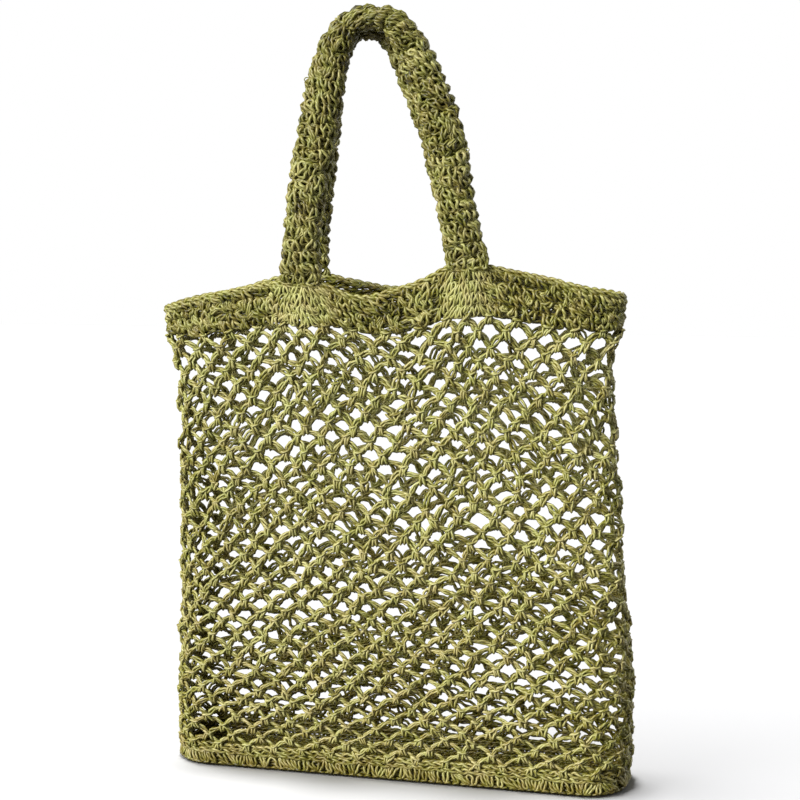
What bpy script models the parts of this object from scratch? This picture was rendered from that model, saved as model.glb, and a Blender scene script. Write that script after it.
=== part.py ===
# Crocheted mesh tote bag in twisted paper straw twine, modelled at its real size in metres.
# Z is up, X runs along the bag's width, and the front faces -Y.
# The origin lies on the floor under the middle of the base.
# The bag is one soft ring of wall that starts as a rounded oblong at the base and closes to a slim
# mouth. Base, net and band are cut from that same surface, so their edges meet.

import bpy
import numpy as np

# Driving dimensions
bag_height = 0.452          # highest seat of the rim above the floor
base_width = 0.414
base_depth = 0.092
base_corner = 0.036         # plan radius of the four base corners
base_rim_height = 0.021     # the dense base turns up this far before the net starts
base_edge_roll = 0.005      # rounding where the floor turns up
base_thickness = 0.005
base_turn = 3.5             # degrees: the base stands turned this far, its right end towards the front
mouth_width = 0.408
mouth_depth = 0.064
mouth_forward = 0.018       # the mouth's long axis stands this far in front of the base's
mouth_left = 0.006          # and its middle this far to the left
mouth_fullness = 2.5        # 2 is an ellipse, more is squarer
band_height = 0.036
band_wall = 0.005
net_wall = 0.004
net_strand = 0.017          # width of the straps left between two gaps
net_gap_corner = 0.90       # a gap's corners are drawn in to this share, which rounds them
net_gap_side = 1.06         # and the middles of its sides pushed out to this one
net_half_gap = 0.83         # size of the half gaps along base and band, as a share of a whole one's
net_half_gap_middle = 0.42  # their middle stands this share of a lattice step off the edge
handle_width = 0.032
handle_thickness = 0.020
handle_seat_width = 0.036
handle_seat_length = 0.030  # stretch over which a handle widens to its seat
front_handle_spacing = 0.147
back_handle_spacing = 0.142
front_handle_right = 0.002  # the front loop stands this far to the right of the mouth's middle
back_handle_left = 0.0075   # and the back loop this far to the left of it
front_handle_rise = 0.210   # from the highest seat up to the middle of the loop's crown
back_handle_rise = 0.203
handle_lean = 0.002         # the two crowns hang this far in front of the mouth's long axis
handle_clearance = 0.002    # free space between the two crowns
piece_gap = 0.0003          # every two pieces that meet keep this much apart

# Counts
quarter_stations = 12       # ring stations in a quarter of the way round
net_columns = 12            # diamond gaps in one row round the bag
net_rows = 9                # lattice steps from the base to the band
band_steps = 4
handle_sides = 12
handle_stations = 44

# Seats: the ring stations, counted from the middle of a face, that carry a handle end
seat_first = 3
seat_middle = 4
seat_last = 5
ring_stations = 4 * quarter_stations

# Mouth line, station by station from the left end to the right end of each face.
# Columns: station, drop of the rim under bag_height, depth of the band, both as shares of band_height.
front_mouth = [
    (-12, 1.14, 0.64),
    (-10, 0.92, 0.85),
    (-8, 0.69, 0.93),
    (-5, 0.43, 0.97),
    (-3, 0.43, 0.97),
    (-2, 0.66, 0.80),
    (-1, 0.76, 0.80),
    (0, 0.65, 0.93),
    (1, 0.49, 1.01),
    (2, 0.28, 1.08),
    (3, 0.00, 1.16),
    (5, 0.00, 1.10),
    (6, 0.10, 1.05),
    (8, 0.29, 1.08),
    (10, 0.53, 0.92),
    (12, 0.68, 0.78),
]
back_mouth = [
    (-12, 1.14, 0.64),
    (-10, 0.88, 0.86),
    (-8, 0.72, 0.90),
    (-5, 0.34, 0.98),
    (-3, 0.34, 0.98),
    (-2, 0.45, 0.95),
    (0, 0.62, 0.92),
    (2, 0.50, 0.95),
    (3, 0.22, 1.02),
    (5, 0.22, 1.02),
    (8, 0.42, 0.98),
    (10, 0.57, 0.90),
    (12, 0.68, 0.78),
]

# How the bag's width draws in between base and mouth.
# Columns: height as a share of the local rim height, draw as a share of the half width.
waist = [
    (0.00, 0.000),
    (0.05, 0.000),
    (0.25, 0.012),
    (0.50, 0.048),
    (0.75, 0.056),
    (0.88, 0.050),
    (0.95, 0.010),
    (1.00, 0.000),
]

# Soft folds and dents of the two faces.
# Columns: face (-1 front, 1 back), place across as a share of the half width, place up as a share of
# the height, push outwards as a share of half the base depth, spread across, spread up.
folds = [
    (-1, -0.39, 0.86, 0.11, 0.09, 0.30),    # pull below the left end of the front handle
    (-1, 0.36, 0.88, 0.13, 0.09, 0.32),     # pull below the right end of the front handle
    (-1, -0.05, 0.90, -0.14, 0.18, 0.22),   # slack hollow between them
    (-1, 0.10, 0.28, 0.16, 0.60, 0.26),     # belly low on the front
    (-1, 0.74, 0.55, -0.12, 0.14, 0.35),    # long soft dent near the right side
    (1, 0.00, 0.52, -0.22, 0.45, 0.30),     # hollow back
    (1, -0.55, 0.25, 0.12, 0.25, 0.20),     # low bulge at the back
]

# Middle line of a handle from its left end to its right end, without the two ends themselves.
# Columns: across as a share of half the spacing, up as a share of the rise.
handle_path = [
    (-0.985, 0.09),
    (-0.940, 0.25),
    (-0.840, 0.49),
    (-0.735, 0.73),
    (-0.640, 0.87),
    (-0.480, 0.96),
    (-0.210, 1.00),
    (0.060, 0.970),
    (0.270, 0.875),
    (0.450, 0.740),
    (0.630, 0.580),
    (0.765, 0.390),
    (0.885, 0.170),
]

# Section of a handle along its length, as shares of handle_width and handle_thickness.
# Columns: along, width, thickness.
handle_section = [
    (0.00, 1.00, 0.27),
    (0.03, 1.00, 0.60),
    (0.08, 1.00, 0.95),
    (0.36, 1.00, 1.00),
    (0.44, 0.82, 1.04),
    (0.50, 0.60, 1.06),
    (0.56, 0.76, 1.04),
    (0.66, 0.98, 1.00),
    (0.92, 1.00, 0.95),
    (0.97, 1.00, 0.60),
    (1.00, 1.00, 0.27),
]


# Curve through the rows of a table, with the slope at each row taken from its neighbours
def smooth_column(places, table, column):
    at = np.array([row[0] for row in table], dtype=float)
    value = np.array([row[column] for row in table], dtype=float)
    slope = np.gradient(value, at)
    places = np.clip(places, at[0], at[-1])
    row = np.clip(np.searchsorted(at, places, side="right") - 1, 0, len(at) - 2)
    width = at[row + 1] - at[row]
    t = (places - at[row]) / width
    start = (1 + 2 * t) * (1 - t) ** 2 * value[row] + t * (1 - t) ** 2 * width * slope[row]
    end = t * t * (3 - 2 * t) * value[row + 1] + t * t * (t - 1) * width * slope[row + 1]
    return start + end


# A station counts round the bag from the middle of the front, over the right end and the back.
# This gives its distance from the middle of its face, its side (-1 left) and its face (-1 front).
def split_station(stations):
    around = np.mod(stations, ring_stations)
    to_front = np.minimum(around, ring_stations - around)
    on_back = to_front > quarter_stations
    away = np.where(on_back, 2 * quarter_stations - to_front, to_front)
    side = np.where(around <= 2 * quarter_stations, 1.0, -1.0)
    face = np.where(on_back, 1.0, -1.0)
    return away, side, face


# Distance walked along a row of points up to each of them
def walked(points):
    steps = np.hypot(np.diff(points[:, 0]), np.diff(points[:, 1]))
    return np.concatenate([[0.0], np.cumsum(steps)])


# One quarter of the base's plan: straight, round corner, straight, drawn in by an inset all round
def base_quarter(inset):
    half_width = base_width / 2 - inset
    half_depth = base_depth / 2 - inset
    corner = base_corner - inset
    turn = np.linspace(0, np.pi / 2, 17)
    x = half_width - corner + corner * np.sin(turn)
    y = -half_depth + corner - corner * np.cos(turn)
    rows = np.column_stack([x, y])
    return np.vstack([[0.0, -half_depth], rows, [half_width, 0.0]])


# One quarter of the mouth's plan, a slim superellipse
def mouth_quarter():
    turn = np.linspace(0, np.pi / 2, 241)
    power = 2 / mouth_fullness
    x = mouth_width / 2 * np.sin(turn) ** power
    y = -mouth_depth / 2 * np.cos(turn) ** power
    return np.column_stack([x, y])


# Distance of a handle end from the mouth's middle, by side and face
def seat_place(side, face):
    if face < 0:
        return front_handle_spacing / 2 + side * front_handle_right
    return back_handle_spacing / 2 - side * back_handle_left


def base_plan(stations, inset):
    away, side, face = split_station(stations)
    points = base_quarter(inset)
    length = walked(points)
    reach = away / quarter_stations * length[-1]
    x = side * np.interp(reach, length, points[:, 0])
    y = -face * np.interp(reach, length, points[:, 1])
    turn = np.radians(base_turn)
    return x * np.cos(turn) + y * np.sin(turn), y * np.cos(turn) - x * np.sin(turn)


# The mouth's stations bunch so that three of them always carry a handle end
def mouth_plan(stations):
    away, side, face = split_station(stations)
    points = mouth_quarter()
    length = walked(points)
    x = np.zeros(np.shape(away))
    y = np.zeros(np.shape(away))
    for one_side in (-1, 1):
        for one_face in (-1, 1):
            seat = seat_place(one_side, one_face)
            marks = [0.0, seat - handle_seat_width / 2, seat, seat + handle_seat_width / 2]
            walks = list(np.interp(marks, points[:, 0], length)) + [length[-1]]
            counts = [0, seat_first, seat_middle, seat_last, quarter_stations]
            reach = np.interp(away, counts, walks)
            here = (side == one_side) & (face == one_face)
            x = np.where(here, one_side * np.interp(reach, length, points[:, 0]), x)
            y = np.where(here, -one_face * np.interp(reach, length, points[:, 1]), y)
    return x - mouth_left, y - mouth_forward


# Height of the rim and of the band's foot above the floor
def mouth_heights(stations):
    away, side, face = split_station(stations)
    on_seat = (away >= seat_first) & (away <= seat_last)
    place = side * np.where(on_seat, seat_last, away)
    drop = np.where(face < 0, smooth_column(place, front_mouth, 1), smooth_column(place, back_mouth, 1))
    place = side * away
    depth = np.where(face < 0, smooth_column(place, front_mouth, 2), smooth_column(place, back_mouth, 2))
    rim = bag_height - drop * band_height
    return rim, rim - depth * band_height


# Outer surface of the bag: base plan and mouth plan blended with height, drawn in at the waist
# and pushed in and out by the folds
def bag_points(stations, height, inset=0.0):
    rim, foot = mouth_heights(stations)
    share = height / rim
    base_x, base_y = base_plan(stations, inset)
    mouth_x, mouth_y = mouth_plan(stations)
    draw = 1 - smooth_column(share, waist, 1)
    x = (base_x * (1 - share) + (mouth_x + mouth_left) * share) * draw - mouth_left * share
    y = base_y * (1 - share) + mouth_y * share
    away, side, face = split_station(stations)
    across = 2 * base_x / base_width
    ends = 1 - (away / quarter_stations) ** 4
    for fold_face, fold_across, fold_up, push, wide, tall in folds:
        reach = ((across - fold_across) / wide) ** 2 + ((share - fold_up) / tall) ** 2
        y = y + np.where(face == fold_face, face * push * base_depth / 2 * np.exp(-reach) * ends * share, 0)
    return np.stack([x, y, height + 0 * x], axis=-1)


# Finish and collection
def finish(red, green, blue, roughness, name):
    material = bpy.data.materials.new(name)
    material.use_nodes = True
    shader = material.node_tree.nodes["Principled BSDF"]
    shader.inputs["Base Color"].default_value = (red, green, blue, 1.0)
    shader.inputs["Roughness"].default_value = roughness
    shader.inputs["Metallic"].default_value = 0.0
    return material


def add_piece(name, points, faces, material, wall):
    mesh = bpy.data.meshes.new(name)
    mesh.from_pydata([tuple(point) for point in points], [], faces)
    mesh.validate()
    mesh.materials.append(material)
    piece = bpy.data.objects.new(name, mesh)
    collection.objects.link(piece)
    if wall:
        shell = piece.modifiers.new("wall", "SOLIDIFY")
        shell.thickness = wall
        shell.offset = -1.0
        shell.use_even_offset = True
        shell.thickness_clamp = 0.0
    mesh.shade_smooth()
    mesh.set_sharp_from_angle(angle=np.radians(40))
    return piece


# Faces of a stack of closed rings, each with the same number of points, counted upwards
def ring_faces(rings, count):
    faces = []
    for ring in range(rings - 1):
        for step in range(count):
            after = (step + 1) % count
            low = ring * count
            high = low + count
            faces.append((low + step, low + after, high + after, high + step))
    return faces


# Dense base: a flat floor whose edge rolls up into a low rim
def build_base():
    stations = np.arange(ring_stations)
    levels = [(0.0, 1.0), (0.3, 0.3), (1.0, 0.0)]
    rings = []
    for rise, inset in levels:
        height = np.full(ring_stations, rise * base_edge_roll)
        rings.append(bag_points(stations, height, inset * base_edge_roll))
    top = np.full(ring_stations, base_rim_height - piece_gap)
    rings.append(bag_points(stations, top))
    faces = ring_faces(len(rings), ring_stations)
    # The floor is laid in strips that run from the front edge to the back edge
    front_middle = 0
    back_middle = 2 * quarter_stations
    for step in range(quarter_stations - 1):
        front = front_middle + step
        back = back_middle - step
        faces.append((front, back, back - 1, front + 1))
        front = (ring_stations - step) % ring_stations
        back = back_middle + step
        faces.append((ring_stations - step - 1, back + 1, back, front))
    right_end = quarter_stations
    left_end = 3 * quarter_stations
    faces.append((right_end - 1, right_end + 1, right_end))
    faces.append((left_end - 1, left_end + 1, left_end))
    return add_piece("base_panel", np.vstack(rings), faces, dense_finish, base_thickness)


# Net: each diamond cell of the lattice is a collar of eight faces round its gap.
# Lattice points are stored once, so neighbouring cells join.
def build_net():
    points = []
    index = {}
    faces = []
    column_stations = ring_stations // net_columns
    low = base_rim_height

    def place(station, step):
        rim, foot = mouth_heights(np.array([station], dtype=float))
        height = low + (foot - low - piece_gap) * step / net_rows
        return bag_points(np.array([station], dtype=float), height)[0]

    def shared(station, step):
        key = (round((station % ring_stations) * 4), round(step * 4))
        if key not in index:
            index[key] = len(points)
            points.append(place(station, step))
        return index[key]

    def own(station, step):
        points.append(place(station, step))
        return len(points) - 1

    half = column_stations / 2
    tall = (bag_height - band_height - base_rim_height) / net_rows
    wide = (base_width + mouth_width + base_depth + mouth_depth) / net_columns / 2
    edge_distance = wide * tall / np.hypot(wide, tall)
    open_share = 1 - net_strand / 2 / edge_distance
    corner_share = open_share * net_gap_corner
    side_share = open_share * net_gap_side
    half_share = open_share * net_half_gap
    diamond = [(0, -1), (0.5, -0.5), (1, 0), (0.5, 0.5), (0, 1), (-0.5, 0.5), (-1, 0), (-0.5, -0.5)]

    def collar(outline, middle, shares):
        outer = [shared(station, step) for station, step in outline]
        inner = []
        for (station, step), share in zip(outline, shares):
            inner.append(own(middle[0] + (station - middle[0]) * share, middle[1] + (step - middle[1]) * share))
        count = len(outline)
        for at in range(count):
            after = (at + 1) % count
            faces.append((outer[at], outer[after], inner[after], inner[at]))

    for row in range(net_rows + 1):
        for column in range(net_columns):
            centre = (column + 0.5 * ((row + 1) % 2)) * column_stations
            if 0 < row < net_rows:
                outline = [(centre + across * half, row + up) for across, up in diamond]
                collar(outline, (centre, row), [corner_share, side_share] * 4)
            else:
                # Half a diamond stands on the base or hangs from the band
                up = 1 if row == 0 else -1
                edge = [(centre + share * half, row) for share in (-1, -0.5, 0, 0.5, 1)]
                slopes = [(centre + share * half, row + (1 - abs(share)) * up) for share in (0.5, 0, -0.5)]
                outline = edge + slopes
                if up < 0:
                    outline = outline[::-1]
                collar(outline, (centre, row + net_half_gap_middle * up), [half_share] * len(outline))
    return add_piece("net_body", points, faces, net_finish, net_wall)


# Dense band round the mouth
def build_band():
    stations = np.arange(ring_stations)
    rim, foot = mouth_heights(stations)
    rings = []
    for step in range(band_steps + 1):
        rings.append(bag_points(stations, foot + (rim - foot) * step / band_steps))
    faces = ring_faces(len(rings), ring_stations)
    return add_piece("top_band", np.vstack(rings), faces, dense_finish, band_wall)


# Middle of the band's top edge at a seat, where a handle end stands
def seat_point(side, face):
    away = seat_middle if face < 0 else 2 * quarter_stations - seat_middle
    station = np.array([away if side > 0 else ring_stations - away], dtype=float)
    rim, foot = mouth_heights(station)
    point = bag_points(station, rim)[0]
    return point - np.array([0.0, face * band_wall / 2, 0.0])


# Handle: sections across a smooth middle line, flattened where it stands on the rim and pinched at
# the crown. The section's width lies in the plane of the loop and its thickness along Y.
def build_handle(name, face, spacing, shift, rise):
    start = seat_point(-1, face)
    end = seat_point(1, face)
    middle_x = shift - mouth_left
    crown_thickness = handle_thickness * max(row[2] for row in handle_section)
    crown_y = -mouth_forward - handle_lean + face * (crown_thickness + handle_clearance) / 2
    rows = [start + np.array([0.0, 0.0, piece_gap])]
    for across, up in handle_path:
        seat = start if across < 0 else end
        ease = up * up * (3 - 2 * up)
        y = seat[1] + (crown_y - seat[1]) * ease
        rows.append(np.array([middle_x + across * spacing / 2, y, bag_height + up * rise]))
    rows.append(end + np.array([0.0, 0.0, piece_gap]))
    knots = np.array(rows)
    steps = np.linalg.norm(np.diff(knots, axis=0), axis=1)
    reach = np.concatenate([[0.0], np.cumsum(steps)])
    along = np.linspace(0, 1, handle_stations)
    table = [(at, *knot) for at, knot in zip(reach / reach[-1], knots)]
    path = np.stack([smooth_column(along, table, column) for column in (1, 2, 3)], axis=-1)
    tangent = np.gradient(path, axis=0)
    tangent[0] = (0, 0, 1)
    tangent[-1] = (0, 0, -1)
    normal = np.stack([-tangent[:, 2], 0 * along, tangent[:, 0]], axis=-1)
    normal /= np.linalg.norm(normal, axis=1)[:, None]
    width = handle_width * smooth_column(along, handle_section, 1)
    thick = handle_thickness * smooth_column(along, handle_section, 2)
    flare = handle_seat_width / handle_width
    to_end = np.minimum(along, 1 - along) * reach[-1]
    width *= 1 + (flare - 1) * np.clip(1 - to_end / handle_seat_length, 0, 1)
    turn = np.arange(handle_sides) / handle_sides * 2 * np.pi
    rings = []
    for at in range(handle_stations):
        out = normal[at] * width[at] / 2
        ahead = np.array([0.0, -thick[at] / 2, 0.0])
        rings.append(path[at] + np.cos(turn)[:, None] * out + np.sin(turn)[:, None] * ahead)
    faces = ring_faces(handle_stations, handle_sides)
    last = (handle_stations - 1) * handle_sides
    faces.append(tuple(range(handle_sides))[::-1])
    faces.append(tuple(last + step for step in range(handle_sides)))
    return add_piece(name, np.vstack(rings), faces, handle_finish, 0.0)


for old in list(bpy.data.objects):
    bpy.data.objects.remove(old, do_unlink=True)

collection = bpy.data.collections.new("crocheted_mesh_tote")
bpy.context.scene.collection.children.link(collection)
net_finish = finish(0.235, 0.262, 0.075, 0.85, "straw twine net")
dense_finish = finish(0.210, 0.240, 0.062, 0.88, "straw twine dense crochet")
handle_finish = finish(0.185, 0.210, 0.050, 0.88, "straw twine handle crochet")

build_base()
build_net()
build_band()
build_handle("front_handle", -1, front_handle_spacing, front_handle_right, front_handle_rise)
build_handle("back_handle", 1, back_handle_spacing, -back_handle_left, back_handle_rise)
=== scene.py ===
import bpy
import numpy as np
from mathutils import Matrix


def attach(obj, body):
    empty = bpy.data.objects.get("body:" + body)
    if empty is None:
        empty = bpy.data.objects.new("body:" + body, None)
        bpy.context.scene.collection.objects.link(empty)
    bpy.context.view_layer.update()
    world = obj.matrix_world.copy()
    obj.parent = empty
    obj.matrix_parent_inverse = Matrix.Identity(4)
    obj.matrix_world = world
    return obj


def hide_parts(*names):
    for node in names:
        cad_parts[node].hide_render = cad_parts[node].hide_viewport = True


# Mesh tote bag crocheted in olive paper straw twine.
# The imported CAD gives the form. Every strand here is a tube laid on that form: its middle line is
# worked out with numpy as a whole array, first in stitches round the bag and up it, then in metres.

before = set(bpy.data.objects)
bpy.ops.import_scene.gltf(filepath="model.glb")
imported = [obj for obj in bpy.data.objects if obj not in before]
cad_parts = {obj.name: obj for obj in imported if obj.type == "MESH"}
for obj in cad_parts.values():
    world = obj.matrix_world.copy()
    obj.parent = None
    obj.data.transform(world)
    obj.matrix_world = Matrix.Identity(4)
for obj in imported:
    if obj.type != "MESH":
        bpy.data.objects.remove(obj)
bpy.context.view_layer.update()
dice = np.random.default_rng(23)
mm = 0.001
scene = bpy.context.scene
print("frame loaded:", sorted(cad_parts))


# ---- camera
view = {
    "azimuth": 12.0,          # degrees towards the bag's right end
    "elevation": 8.0,
    "distance": 1.70,
    "target": (0.0, 0.0, 0.30),
    "frame": 800,             # pixels across; focal and targetAt are in such pixels
    "focal": 1925.0,
    "targetAt": (401.0, 437.0),
}


def makeCamera():
    data = bpy.data.cameras.new("bagCamera")
    data.sensor_width = 36.0
    data.lens = view["focal"] / view["frame"] * data.sensor_width
    data.shift_x = 0.5 - view["targetAt"][0] / view["frame"]
    data.shift_y = view["targetAt"][1] / view["frame"] - 0.5
    data.clip_start = 0.05
    camera = bpy.data.objects.new("bagCamera", data)
    turn = np.radians(view["azimuth"])
    tilt = np.radians(view["elevation"])
    x, y, z = view["target"]
    flat = view["distance"] * np.cos(tilt)
    rise = view["distance"] * np.sin(tilt)
    camera.location = (x + flat * np.sin(turn), y - flat * np.cos(turn), z + rise)
    camera.rotation_euler = (np.pi / 2 - tilt, 0.0, turn)
    scene.collection.objects.link(camera)
    scene.camera = camera


makeCamera()
print("camera placed")


# ---- the bag's form, the same as the CAD's
bagForm = {
    "height": 0.452, "baseWidth": 0.414, "baseDepth": 0.092, "baseCorner": 0.036,
    "baseRim": 0.021, "baseRoll": 0.005, "baseTurn": 3.5, "mouthWidth": 0.408,
    "mouthDepth": 0.064, "mouthForward": 0.018, "mouthLeft": 0.006,
    "mouthFullness": 2.5, "bandHeight": 0.036, "bandWall": 0.005,
    "quarter": 12,            # stations in a quarter of the way round
    "seatStations": (3, 4, 5), "seatWidth": 0.036,
    "seatSpacing": {-1: 0.147, 1: 0.142}, "seatShift": {-1: 0.002, 1: -0.0075},
    # station, drop of the rim, depth of the band, as shares of the band's height
    "frontMouth": [(-12, 1.14, 0.64), (-10, 0.92, 0.85), (-8, 0.69, 0.93), (-5, 0.43, 0.97),
                   (-3, 0.43, 0.97), (-2, 0.66, 0.80), (-1, 0.76, 0.80), (0, 0.65, 0.93),
                   (1, 0.49, 1.01), (2, 0.28, 1.08), (3, 0.00, 1.16), (5, 0.00, 1.10),
                   (6, 0.10, 1.05), (8, 0.29, 1.08), (10, 0.53, 0.92), (12, 0.68, 0.78)],
    "backMouth": [(-12, 1.14, 0.64), (-10, 0.88, 0.86), (-8, 0.72, 0.90), (-5, 0.34, 0.98),
                  (-3, 0.34, 0.98), (-2, 0.45, 0.95), (0, 0.62, 0.92), (2, 0.50, 0.95),
                  (3, 0.22, 1.02), (5, 0.22, 1.02), (8, 0.42, 0.98), (10, 0.57, 0.90),
                  (12, 0.68, 0.78)],
    # share of the height, how far the width draws in
    "waist": [(0.00, 0.000), (0.05, 0.000), (0.25, 0.012), (0.50, 0.048), (0.75, 0.056),
              (0.88, 0.050), (0.95, 0.010), (1.00, 0.000)],
    # face, place across, place up, push, spread across, spread up
    "folds": [(-1, -0.39, 0.86, 0.11, 0.09, 0.30), (-1, 0.36, 0.88, 0.13, 0.09, 0.32),
              (-1, -0.05, 0.90, -0.14, 0.18, 0.22), (-1, 0.10, 0.28, 0.16, 0.60, 0.26),
              (-1, 0.74, 0.55, -0.12, 0.14, 0.35), (1, 0.00, 0.52, -0.22, 0.45, 0.30),
              (1, -0.55, 0.25, 0.12, 0.25, 0.20)],
}
quarter = bagForm["quarter"]
stationCount = 4 * quarter
seatMiddles = (4, 20, 28, 44)     # the stations under the four handle ends


# Cubic through the rows of a table, with each row's slope taken from its neighbours
def smoothColumn(places, table, column):
    at = np.array([row[0] for row in table], dtype=float)
    value = np.array([row[column] for row in table], dtype=float)
    slope = np.gradient(value, at)
    places = np.clip(places, at[0], at[-1])
    row = np.clip(np.searchsorted(at, places, side="right") - 1, 0, len(at) - 2)
    width = at[row + 1] - at[row]
    t = (places - at[row]) / width
    start = (1 + 2 * t) * (1 - t) ** 2 * value[row] + t * (1 - t) ** 2 * width * slope[row]
    end = t * t * (3 - 2 * t) * value[row + 1] + t * t * (t - 1) * width * slope[row + 1]
    return start + end


# Stations count round from the middle of the front; this folds them into one quarter,
# with the side (-1 left) and the face (-1 front)
def splitStation(station):
    around = np.mod(station, stationCount)
    toFront = np.minimum(around, stationCount - around)
    onBack = toFront > quarter
    away = np.where(onBack, 2 * quarter - toFront, toFront)
    side = np.where(around <= 2 * quarter, 1.0, -1.0)
    return away, side, np.where(onBack, 1.0, -1.0)


# Stations from a middle to a station, the short way round
def stationsFrom(station, middle):
    return np.mod(station - middle + stationCount / 2, stationCount) - stationCount / 2


def shares(count):
    return np.arange(count) / count


def running(steps):
    return np.concatenate([[0.0], np.cumsum(steps)])


def walked(points):
    return running(np.linalg.norm(np.diff(points, axis=0), axis=1))


# A quarter of the base's plan: straight, round corner, straight, drawn in by an inset
def baseQuarter(inset):
    halfWidth = bagForm["baseWidth"] / 2 - inset
    halfDepth = bagForm["baseDepth"] / 2 - inset
    corner = bagForm["baseCorner"] * halfDepth / (bagForm["baseDepth"] / 2)
    turn = np.linspace(0, np.pi / 2, 17)
    x = halfWidth - corner + corner * np.sin(turn)
    y = -halfDepth + corner - corner * np.cos(turn)
    return np.vstack([[0.0, -halfDepth], np.column_stack([x, y]), [halfWidth, 0.0]])


# The base's plan: stations share the quarter's length evenly, then the plan turns about Z
def basePlan(station, inset=0.0):
    away, side, face = splitStation(station)
    points = baseQuarter(inset)
    length = walked(points)
    reach = away / quarter * length[-1]
    x = side * np.interp(reach, length, points[:, 0])
    y = -face * np.interp(reach, length, points[:, 1])
    turn = np.radians(bagForm["baseTurn"])
    return x * np.cos(turn) + y * np.sin(turn), y * np.cos(turn) - x * np.sin(turn)


# The mouth's plan: a superellipse on which three stations always carry a handle end
def mouthPlan(station):
    away, side, face = splitStation(station)
    turn = np.linspace(0, np.pi / 2, 241)
    power = 2 / bagForm["mouthFullness"]
    quarterX = bagForm["mouthWidth"] / 2 * np.sin(turn) ** power
    quarterY = -bagForm["mouthDepth"] / 2 * np.cos(turn) ** power
    length = walked(np.column_stack([quarterX, quarterY]))
    x, y = np.zeros((2, *np.shape(away)))
    half = bagForm["seatWidth"] / 2
    for oneSide in (-1, 1):
        for oneFace in (-1, 1):
            seat = bagForm["seatSpacing"][oneFace] / 2 + oneSide * bagForm["seatShift"][oneFace]
            marks = [0.0, seat - half, seat, seat + half, quarterX[-1]]
            walks = np.interp(marks, quarterX, length)
            reach = np.interp(away, [0, *bagForm["seatStations"], quarter], walks)
            here = (side == oneSide) & (face == oneFace)
            x = np.where(here, oneSide * np.interp(reach, length, quarterX), x)
            y = np.where(here, -oneFace * np.interp(reach, length, quarterY), y)
    return x - bagForm["mouthLeft"], y - bagForm["mouthForward"]


# Height of the rim and of the band's foot: the mouth tables, read as shares of the band's height
def mouthHeights(station):
    away, side, face = splitStation(station)

    def fromTables(place, column):
        front = smoothColumn(place, bagForm["frontMouth"], column)
        return np.where(face < 0, front, smoothColumn(place, bagForm["backMouth"], column))

    first, middle, last = bagForm["seatStations"]
    drop = fromTables(side * np.where((away >= first) & (away <= last), last, away), 1)
    rim = bagForm["height"] - drop * bagForm["bandHeight"]
    return rim, rim - fromTables(side * away, 2) * bagForm["bandHeight"]


# Outer face of the bag: base plan and mouth plan mixed by the share of the height, drawn in at
# the waist, and pushed out or in by bell-shaped folds
def bagPoint(station, share):
    rim = mouthHeights(station)[0]
    baseX, baseY = basePlan(station)
    mouthX, mouthY = mouthPlan(station)
    left = bagForm["mouthLeft"]
    draw = 1 - smoothColumn(share, bagForm["waist"], 1)
    x = (baseX * (1 - share) + (mouthX + left) * share) * draw - left * share
    y = baseY * (1 - share) + mouthY * share
    away, _, face = splitStation(station)
    across = 2 * baseX / bagForm["baseWidth"]
    ends = 1 - (away / quarter) ** 4
    for foldFace, foldAcross, foldUp, push, wide, tall in bagForm["folds"]:
        reach = ((across - foldAcross) / wide) ** 2 + ((share - foldUp) / tall) ** 2
        bulge = foldFace * push * bagForm["baseDepth"] / 2 * np.exp(-reach) * ends * share
        y = y + np.where(face == foldFace, bulge, 0)
    return np.stack([x, y, share * rim], axis=-1)


# On a closed line, the step from the point before to the point after
def stepOver(values, axis=1):
    return np.roll(values, -1, axis) - np.roll(values, 1, axis)


def unit(vectors):
    return vectors / np.maximum(np.linalg.norm(vectors, axis=-1, keepdims=True), 1e-12)


# The form is read once on a fine grid of stations and heights, with the outward direction there:
# the step round crossed with the step up
gridFine = {"perStation": 8, "perHeight": 128, "tall": 1.1}    # it runs on past the rim
gridStation = shares(stationCount * gridFine["perStation"]) * stationCount
gridShare = np.arange(int(gridFine["tall"] * gridFine["perHeight"])) / gridFine["perHeight"]
skin = bagPoint(*np.meshgrid(gridStation, gridShare, indexing="ij"))
skinOut = unit(np.cross(stepOver(skin, 0), np.gradient(skin, axis=1)))
skinGrid = np.concatenate([skin, skinOut], axis=-1)
gridRim, gridFoot = mouthHeights(gridStation)


# Height at a share of the way up the band, from 0 at its foot to 1 at the rim
def bandAt(station, share):
    rim, foot = (np.interp(station, gridStation, heights, period=stationCount)
                 for heights in (gridRim, gridFoot))
    return foot + (rim - foot) * share


# Point at a station, a height and a distance out of the CAD's face, and the outward direction:
# a two-way blend of the four grid points round it
def onBag(station, height, out):
    column = np.mod(station, stationCount) * gridFine["perStation"]
    row = np.clip(height / bandAt(station, 1) * gridFine["perHeight"], 0, len(gridShare) - 1.001)
    left = np.floor(column).astype(int) % len(gridStation)
    right = (left + 1) % len(gridStation)
    low = np.floor(row).astype(int)
    s = (column - np.floor(column))[..., None]
    t = (row - low)[..., None]
    near = skinGrid[left, low] * (1 - s) + skinGrid[right, low] * s
    far = skinGrid[left, low + 1] * (1 - s) + skinGrid[right, low + 1] * s
    both = near * (1 - t) + far * t
    outward = unit(both[..., 3:])
    return both[..., :3] + outward * np.asarray(out)[..., None], outward


print("form ready")


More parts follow.
